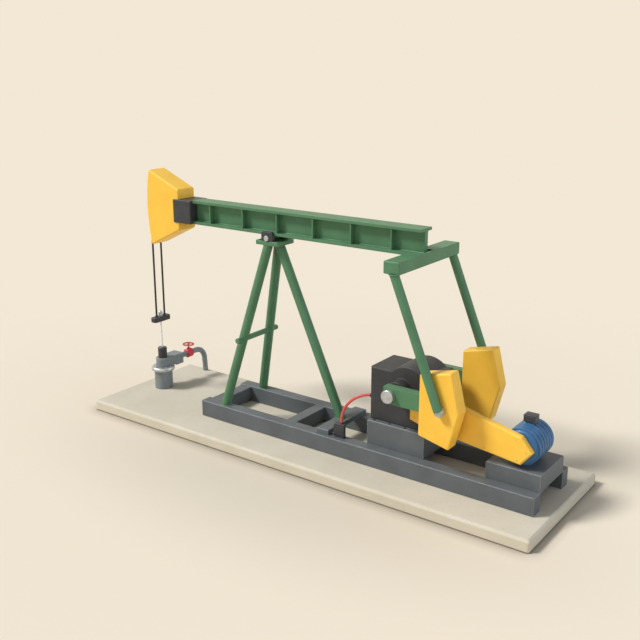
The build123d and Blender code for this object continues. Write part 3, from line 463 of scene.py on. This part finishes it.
# bolts under the reducer, through the horsehead's mount and round the belt guard
reducerBolts = {"size": 0.026, "x": (1.64, 2.00, 2.36, 2.72), "across": 0.50}
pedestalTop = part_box("gearbox_pedestal")[1].z
spread(hexBolt(reducerBolts["size"]), [((x, side * reducerBolts["across"], pedestalTop), up)
                                       for x in reducerBolts["x"] for side in sides],
       "reducer_bolts", "base", "black_paint")
mountBolts = {"size": 0.016, "in": 0.10}
low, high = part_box("horsehead_mount")
spread(hexBolt(mountBolts["size"]), [((x, side * high.y, z), (0, side, 0))
                                     for x in (low.x + mountBolts["in"], high.x - mountBolts["in"])
                                     for z in (low.z + mountBolts["in"], high.z - mountBolts["in"])
                                     for side in sides], "mount_bolts", "beam", "black_paint")
guardScrews = {"size": 0.014, "xz": [(2.60, 1.45), (2.60, 1.66), (2.86, 1.93), (3.45, 1.82), (4.05, 1.68),
                                     (4.70, 1.52), (4.90, 1.32), (4.74, 1.14), (4.10, 1.22), (3.45, 1.30),
                                     (2.95, 1.37)]}
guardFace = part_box("belt_guard")[0].y
spread(hexBolt(guardScrews["size"]), [((x, guardFace, z), (0, -1, 0)) for x, z in guardScrews["xz"]],
       "guard_screws", "base", "machine_yellow")
print("bolts set")

# fillet welds: half-sunk rippled beads where a tube or plate meets what carries it
welds = {"bead": 0.013, "ripple": 0.003, "runCuts": 90}


def ripple(seed):
    bpy.ops.mesh.select_all(action="SELECT")
    bpy.ops.transform.vertex_random(offset=welds["ripple"], seed=seed)
    deselect()


def weldRing(point, radius, stretch):
    deselect()
    bpy.ops.mesh.primitive_torus_add(major_segments=64, minor_segments=8, major_radius=radius,
                                     minor_radius=welds["bead"], location=point)
    ring = bpy.context.object
    ring.scale = (stretch, 1, 1)
    bpy.ops.object.mode_set(mode="EDIT")
    ripple(7)
    return ring


def weldRun(start, end):
    deselect()
    start, end = Vector(start), Vector(end)
    bpy.ops.mesh.primitive_cylinder_add(vertices=8, radius=welds["bead"], depth=(end - start).length,
                                        location=(start + end) / 2)
    run = bpy.context.object
    run.rotation_euler = (end - start).to_track_quat("Z", "Y").to_euler()
    pickEdges(run, lambda a, b: abs(a.z - b.z) > 0.01)
    bpy.ops.mesh.subdivide(number_cuts=welds["runCuts"])
    ripple(3)
    return run


legWelds = {"radius": 0.105, "front": (-2.186, 0.652, 0.61), "frontStretch": 1.04, "rearX": 0.500,
            "rearStretch": 1.09}
frontX, frontY, frontZ = legWelds["front"]
feet = [weldRing((frontX, side * frontY, frontZ), legWelds["radius"], legWelds["frontStretch"])
        for side in sides]
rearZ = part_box("rear_leg")[0].z
feet.append(weldRing((legWelds["rearX"], 0, rearZ), legWelds["radius"], legWelds["rearStretch"]))
settle(joined(feet), "leg_welds", "base", "post_green")
pitmanWelds = {"radius": 0.092, "x": 2.400, "across": 1.103, "stretch": 1.08}
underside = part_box("equalizer")[0].z
heads = [weldRing((pitmanWelds["x"], side * pitmanWelds["across"], underside), pitmanWelds["radius"],
                  pitmanWelds["stretch"]) for side in sides]
settle(joined(heads), "pitman_welds", "pitmans", "post_green")
beamWelds = {"flange": 0.058, "web": 0.055, "bottom": 4.493}
low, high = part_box("walking_beam")
runs = [weldRun((low.x, side * beamWelds["web"], z), (high.x, side * beamWelds["web"], z)) for side in sides
        for z in (beamWelds["bottom"] + beamWelds["flange"], high.z - beamWelds["flange"])]
settle(joined(runs), "beam_welds", "beam", "post_green")
print("welds set")

# wire rope: six strands laid up, the lobed section drawn up a screw and laid along its path
rope = {"strands": 6, "radius": 0.0235, "points": 36, "lobe": 0.10, "lay": 0.30, "y": 0.130, "dropSteps": 220,
        "wrapSteps": 110, "pivot": (-1.24, 4.437), "run": 3.589, "wrapFrom": 0.1, "wrapTo": 17.2, "smooth": 60}


def strandedRope(length, steps):
    deselect()
    bpy.ops.mesh.primitive_circle_add(vertices=rope["points"], radius=rope["radius"])
    section = bpy.context.object
    for point in section.data.vertices:
        turn = point.index / rope["points"] * rope["strands"] * 2 * pi
        point.co *= 1 - rope["lobe"] + rope["lobe"] * abs(cos(turn / 2))
    screw = section.modifiers.new("lay", "SCREW")
    screw.axis = "Z"
    screw.angle = length / rope["lay"] * 2 * pi
    screw.screw_offset = length
    screw.steps = screw.render_steps = steps
    bpy.ops.object.modifier_apply(modifier="lay")
    bpy.ops.object.mode_set(mode="EDIT")
    bpy.context.tool_settings.mesh_select_mode = (False, True, False)
    bpy.ops.mesh.select_all(action="DESELECT")
    bpy.ops.mesh.select_non_manifold()
    bpy.ops.mesh.fill_holes(sides=0)
    deselect()
    return section


low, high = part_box("bridle_drop")
drops = []
for side in sides:
    drop = strandedRope(high.z - low.z, rope["dropSteps"])
    drop.location = ((low.x + high.x) / 2, side * rope["y"], low.z)
    drops.append(drop)
drop = settle(joined(drops), "bridle_drop_ropes", "rod", "wire_rope", rope["smooth"])
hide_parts("bridle_drop")
wraps = []
arc = radians(rope["wrapTo"] - rope["wrapFrom"])
pivotX, pivotZ = rope["pivot"]
for side in sides:
    wrap = strandedRope(arc * rope["run"], rope["wrapSteps"])
    for point in wrap.data.vertices:  # laid round the saddle shaft, from the track's foot up
        turn = radians(rope["wrapFrom"]) + point.co.z / rope["run"]
        reach = rope["run"] + point.co.x
        point.co = (pivotX - reach * cos(turn), side * rope["y"] + point.co.y, pivotZ + reach * sin(turn))
    wraps.append(wrap)
wrap = settle(joined(wraps), "bridle_wrap_ropes", "beam", "wire_rope", rope["smooth"])
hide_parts("bridle_wrap")
print("ropes laid")

# rope sockets: tapered sleeves that hold the ropes on the carrier bar, and the bolts of the clamp over it
socket = {"radius": 0.040, "taper": 0.72, "height": 0.10, "round": 0.008}
deselect()
bpy.ops.mesh.primitive_cone_add(vertices=28, radius1=socket["radius"],
                                radius2=socket["radius"] * socket["taper"], depth=socket["height"],
                                location=(0, 0, socket["height"] / 2))
sleeve = bpy.context.object
roundTop(sleeve, socket["round"], 3)
deselect()
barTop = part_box("carrier_bar")[1].z
spread(sleeve, [((wellX, side * rope["y"], barTop), up) for side in sides], "rope_sockets", "rod",
       "black_paint")
clampBolts = {"size": 0.012, "sunk": 0.001, "rises": (0.032, 0.084)}
low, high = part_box("rod_clamp")
clampReach = high.x - wellX - clampBolts["sunk"]
spread(hexBolt(clampBolts["size"]), [((wellX + side * clampReach, 0, low.z + rise), (side, 0, 0))
                                     for side in sides for rise in clampBolts["rises"]],
       "clamp_bolts", "rod", "bright_steel")

# fan cowl on the motor's far end: a pressed cap with ring slots
cowl = {"x": 4.739, "z": 1.328, "radius": 0.318, "depth": 0.095, "sunk": 0.004, "round": 0.030, "rings": 4,
        "band": 0.030, "wall": 0.004, "slotWide": 0.018, "slotDeep": 0.018}
deselect()
bpy.ops.mesh.primitive_cylinder_add(vertices=72, radius=cowl["radius"], depth=cowl["depth"],
                                    location=(0, 0, cowl["depth"] / 2 - cowl["sunk"]))
cap = bpy.context.object
roundTop(cap, cowl["round"], 4)
for ring in range(cowl["rings"]):
    pickFaces(cap, topCap)
    bpy.ops.mesh.inset(thickness=cowl["band"])
    bpy.ops.mesh.inset(thickness=cowl["wall"])
    bpy.ops.transform.translate(value=(0, 0, -cowl["slotDeep"]))
    bpy.ops.mesh.inset(thickness=cowl["slotWide"])
    bpy.ops.mesh.inset(thickness=cowl["wall"])
    bpy.ops.transform.translate(value=(0, 0, cowl["slotDeep"]))
deselect()
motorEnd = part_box("motor")[1].y
spread(cap, [((cowl["x"], motorEnd, cowl["z"]), (0, 1, 0))], "motor_fan_cowl", "base", "motor_blue")


# boxes: a lid with screws on the terminal box, a door with hinges and a catch on the control box
cover = {"sunk": 0.001, "border": 0.06, "crown": 0.35, "corner": 0.04}  # all but sunk are shares of the plate


def coverPlate(width, depth, thick):
    deselect()
    bpy.ops.mesh.primitive_cube_add(size=1, location=(0, 0, thick / 2 - cover["sunk"]),
                                    scale=(width, depth, thick))
    plate = bpy.context.object
    bpy.ops.object.transform_apply(location=True, rotation=True, scale=True)
    pickFaces(plate, lambda c, n: n.z > 0.9)
    bpy.ops.mesh.inset(thickness=min(width, depth) * cover["border"])
    bpy.ops.transform.translate(value=(0, 0, thick * cover["crown"]))
    pickEdges(plate, lambda a, b: abs(a.z - b.z) > thick * 0.6)  # the four upright corners
    bpy.ops.mesh.bevel(offset=min(width, depth) * cover["corner"], segments=3)
    deselect()
    return plate


def knuckle(length, radius):
    deselect()
    bpy.ops.mesh.primitive_cylinder_add(vertices=16, radius=radius, depth=length)
    barrel = bpy.context.object
    pickFaces(barrel, lambda c, n: abs(n.z) > 0.99)
    bpy.ops.mesh.inset(thickness=radius * 0.35)
    bpy.ops.mesh.extrude_region_shrink_fatten(TRANSFORM_OT_shrink_fatten={"value": -0.004})
    deselect()
    return barrel


lid = {"rise": 0.012, "over": 0.004, "screw": 0.008, "screwX": 0.092, "screwY": 0.078, "sunk": 0.002}
low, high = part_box("terminal_box")
mid = (low + high) / 2
spread(coverPlate(high.x - low.x + lid["over"], high.y - low.y + lid["over"], lid["rise"]),
       [((mid.x, mid.y, high.z), up)], "terminal_lid", "base", "black_paint")
screwZ = high.z + lid["rise"] - lid["sunk"]
spread(hexBolt(lid["screw"]), [((mid.x + i * lid["screwX"], mid.y + j * lid["screwY"], screwZ), up)
                               for i in sides for j in sides], "terminal_screws", "base", "black_paint")
door = {"thick": 0.010, "lessX": 0.04, "lessZ": 0.05}
low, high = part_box("control_box")
mid = (low + high) / 2
spread(coverPlate(high.z - low.z - door["lessZ"], high.x - low.x - door["lessX"], door["thick"]),
       [((mid.x, low.y, mid.z), (0, -1, 0))], "control_door", "base", "black_paint")
hinge = {"length": 0.05, "radius": 0.009, "in": 0.012, "out": 0.006, "fromEnd": 0.07}
spread(knuckle(hinge["length"], hinge["radius"]),
       [((low.x + hinge["in"], low.y - hinge["out"], z), up)
        for z in (low.z + hinge["fromEnd"], high.z - hinge["fromEnd"])],
       "control_hinges", "base", "black_paint")
catch = {"length": 0.03, "radius": 0.011, "in": 0.035, "out": 0.016}
spread(knuckle(catch["length"], catch["radius"]),
       [((high.x - catch["in"], low.y - catch["out"], mid.z), (0, -1, 0))],
       "control_catch", "base", "black_paint")


# cable glands: a hex body and a domed nut round the lead, their sizes shares of the lead's radius
def cableGland(size):
    deselect()
    bpy.ops.mesh.primitive_cylinder_add(vertices=6, radius=size * 1.6, depth=size * 0.8,
                                        location=(0, 0, size * 0.4))
    body = bpy.context.object
    roundTop(body, size * 0.12, 2)
    deselect()
    bpy.ops.mesh.primitive_cone_add(vertices=28, radius1=size * 1.42, radius2=size * 1.12, depth=size * 1.1,
                                    location=(0, 0, size * 1.3))
    dome = bpy.context.object
    roundTop(dome, size * 0.25, 3)
    deselect()
    return joined([body, dome])


lead = {"radius": 0.029, "top": (0.955, -0.635, 0.910), "end": (1.515, -0.390, 1.594),
        "way": (-0.560, -0.245, 0)}
spread(cableGland(lead["radius"]), [(lead["top"], up), (lead["end"], lead["way"])], "lead_glands", "base",
       "black_paint")

# valve: a nut on the wheel and a bonnet ring under the stem
wheel = {"nut": 0.018, "sunk": 0.001}
low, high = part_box("valve_handwheel")
stemX, stemY = (low.x + high.x) / 2, (low.y + high.y) / 2
spread(hexBolt(wheel["nut"]), [((stemX, stemY, high.z - wheel["sunk"]), up)], "wheel_nut", "handwheel",
       "valve_red")
bonnet = {"radius": 0.046, "height": 0.026, "round": 0.006, "z": 0.990}
deselect()
bpy.ops.mesh.primitive_cylinder_add(vertices=8, radius=bonnet["radius"], depth=bonnet["height"],
                                    location=(0, 0, bonnet["height"] / 2))
collar = bpy.context.object
pickEdges(collar, lambda a, b: abs(a.z - b.z) < 0.001)
bpy.ops.mesh.bevel(offset=bonnet["round"], segments=2)
deselect()
spread(collar, [((stemX, stemY, bonnet["z"]), up)], "valve_bonnet_ring", "base", "valve_red")
print("fittings set")
